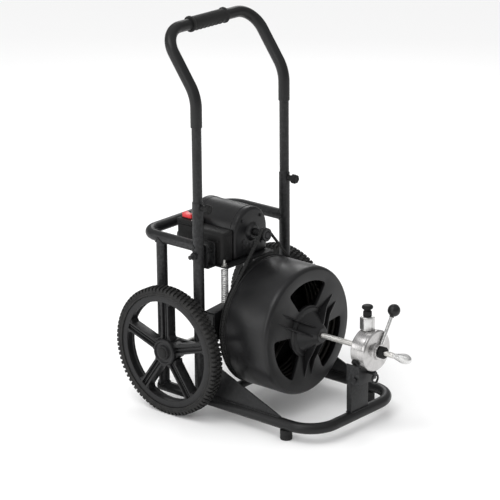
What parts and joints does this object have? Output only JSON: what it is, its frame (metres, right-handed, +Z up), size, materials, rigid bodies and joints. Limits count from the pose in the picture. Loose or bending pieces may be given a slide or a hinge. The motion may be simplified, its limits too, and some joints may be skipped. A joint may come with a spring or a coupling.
{
  "type": "drum drain cleaning machine",
  "caption": "Wheeled electric drain cleaning machine with a belt-driven cable drum, tilting motor, telescoping handle and automatic cable feed.",
  "frame": {"origin": "on the ground, under the middle of the overall box", "axes": "+Z up, -Y towards the cable outlet, +X towards the machine's left side, parallel to the wheel axle"},
  "size_m": [0.452, 0.6914, 0.9001],
  "materials": {
    "frame_paint": "satin black enamel, wear at the bends",
    "motor_paint": "gloss black enamel",
    "drum_shell": "polished black moulding",
    "black_plastic": "fine moulded texture",
    "wheel_plastic": "moulded, semi-gloss",
    "grip_rubber": "soft ribbed rubber",
    "tyre_rubber": "solid rubber with block tread",
    "belt_rubber": "ribbed belt",
    "red_plastic": "moulded, semi-gloss",
    "cable_steel": "bright wound wire",
    "bright_steel": "polished plate",
    "zinc_steel": "zinc plated",
    "cast_aluminium": "machined and tumbled"
  },
  "bodies": {
    "frame": {"base_loop": "frame_paint", "rear_cross_tube": "frame_paint", "top_loop": "frame_paint", "bearing_beam": "frame_paint", "feed_tower": "frame_paint", "feed_saddle": "frame_paint", "wheel_axle": "zinc_steel", "drum_bearing": "zinc_steel", "drive_belt": "belt_rubber", "belt_spring": "bright_steel", "feed_housing": "cast_aluminium", "hex_bushing": "cast_aluminium", "left_upright": "frame_paint", "right_upright": "frame_paint", "left_rear_leg": "frame_paint", "right_rear_leg": "frame_paint", "left_gusset": "frame_paint", "right_gusset": "frame_paint", "left_axle_bar": "frame_paint", "right_axle_bar": "frame_paint", "left_foot": "grip_rubber", "right_foot": "grip_rubber", "pivot_bolt": "frame_paint", "left_roller_plug": "black_plastic", "right_roller_plug": "black_plastic"},
    "handle": {"upper_handle": "frame_paint", "handle_grip": "grip_rubber", "left_handle_tube": "frame_paint", "right_handle_tube": "frame_paint"},
    "left_clamp": {"left_clamp_knob": "black_plastic"},
    "right_clamp": {"right_clamp_knob": "black_plastic"},
    "motor_mount": {"motor_plate": "frame_paint", "motor_body": "motor_paint", "motor_front_bell": "motor_paint", "motor_rear_cover": "motor_paint", "capacitor_box": "black_plastic", "switch_box": "black_plastic", "cord_gland": "grip_rubber"},
    "rotor": {"motor_rotor": "zinc_steel", "motor_pulley": "motor_paint"},
    "rocker": {"switch_rocker": "red_plastic"},
    "drum": {"drum_shell": "drum_shell", "drum_back": "black_plastic", "drum_shaft": "zinc_steel", "cable_coil": "cable_steel", "guide_cable": "cable_steel", "bulb_tip": "bright_steel"},
    "left_wheel_set": {"left_wheel": "wheel_plastic", "left_tyre": "tyre_rubber"},
    "right_wheel_set": {"right_wheel": "wheel_plastic", "right_tyre": "tyre_rubber"},
    "feed_lever": {"feed_collar": "cast_aluminium", "lever_rod": "bright_steel", "lever_ball": "black_plastic", "nose_ring": "black_plastic"},
    "feed_screw": {"feed_knob": "black_plastic"},
    "upper_roller": {"upper_feed_roller": "zinc_steel"},
    "left_roller": {"left_feed_roller": "zinc_steel"},
    "right_roller": {"right_feed_roller": "zinc_steel"},
    "mount_pin": {"lock_pin": "frame_paint"}
  },
  "joints": [
    {"name": "handle_slide", "type": "slide", "parent": "frame", "child": "handle", "axis": [0, 0, 1], "range_m": [-0.06, 0]},
    {"name": "left_clamp_turn", "type": "hinge", "parent": "frame", "child": "left_clamp", "pos_m": [0.151, 0.1173, 0.4935], "axis": [0, -1, 0], "range_deg": [0, 360]},
    {"name": "right_clamp_turn", "type": "hinge", "parent": "frame", "child": "right_clamp", "pos_m": [-0.151, 0.1173, 0.4935], "axis": [0, -1, 0], "range_deg": [0, 360]},
    {"name": "motor_tilt", "type": "hinge", "parent": "frame", "child": "motor_mount", "pos_m": [0, 0.1423, 0.3806], "axis": [1, 0, 0], "range_deg": [0, 3], "stiffness_Nm_per_rad": 20, "springref_deg": -5.73, "deforming": ["belt_spring", "drive_belt"]},
    {"name": "motor_spin", "type": "hinge", "parent": "motor_mount", "child": "rotor", "pos_m": [0, 0.1123, 0.404], "axis": [0, 1, 0], "continuous": true},
    {"name": "switch_rock", "type": "hinge", "parent": "motor_mount", "child": "rocker", "pos_m": [-0.0795, 0.2343, 0.434], "axis": [1, 0, 0], "range_deg": [-8, 8]},
    {"name": "drum_spin", "type": "hinge", "parent": "frame", "child": "drum", "pos_m": [0, 0.0723, 0.1997], "axis": [0, 1, 0], "continuous": true},
    {"name": "left_wheel_roll", "type": "hinge", "parent": "frame", "child": "left_wheel_set", "pos_m": [0.1995, 0.1937, 0.152], "axis": [1, 0, 0], "continuous": true},
    {"name": "right_wheel_roll", "type": "hinge", "parent": "frame", "child": "right_wheel_set", "pos_m": [-0.1995, 0.1937, 0.152], "axis": [1, 0, 0], "continuous": true},
    {"name": "feed_lever_swing", "type": "hinge", "parent": "frame", "child": "feed_lever", "pos_m": [0, -0.2477, 0.1997], "axis": [0, 1, 0], "range_deg": [-64, 0]},
    {"name": "feed_knob_turn", "type": "hinge", "parent": "frame", "child": "feed_screw", "pos_m": [0, -0.2237, 0.2797], "axis": [0, 0, 1], "range_deg": [0, 360]},
    {"name": "upper_roller_spin", "type": "hinge", "parent": "frame", "child": "upper_roller", "pos_m": [0, -0.2267, 0.2147], "axis": [0, 1, 0], "continuous": true},
    {"name": "left_roller_spin", "type": "hinge", "parent": "frame", "child": "left_roller", "pos_m": [0.01299, -0.2267, 0.1922], "axis": [0, 1, 0], "continuous": true},
    {"name": "right_roller_spin", "type": "hinge", "parent": "frame", "child": "right_roller", "pos_m": [-0.01299, -0.2267, 0.1922], "axis": [0, 1, 0], "continuous": true},
    {"name": "lock_pin_pull", "type": "slide", "parent": "frame", "child": "mount_pin", "axis": [0, -1, 0], "range_m": [0, 0.015]}
  ],
  "couplings": [
    {"joint": "motor_spin", "follows": "drum_spin", "ratio": 10.607}
  ]
}
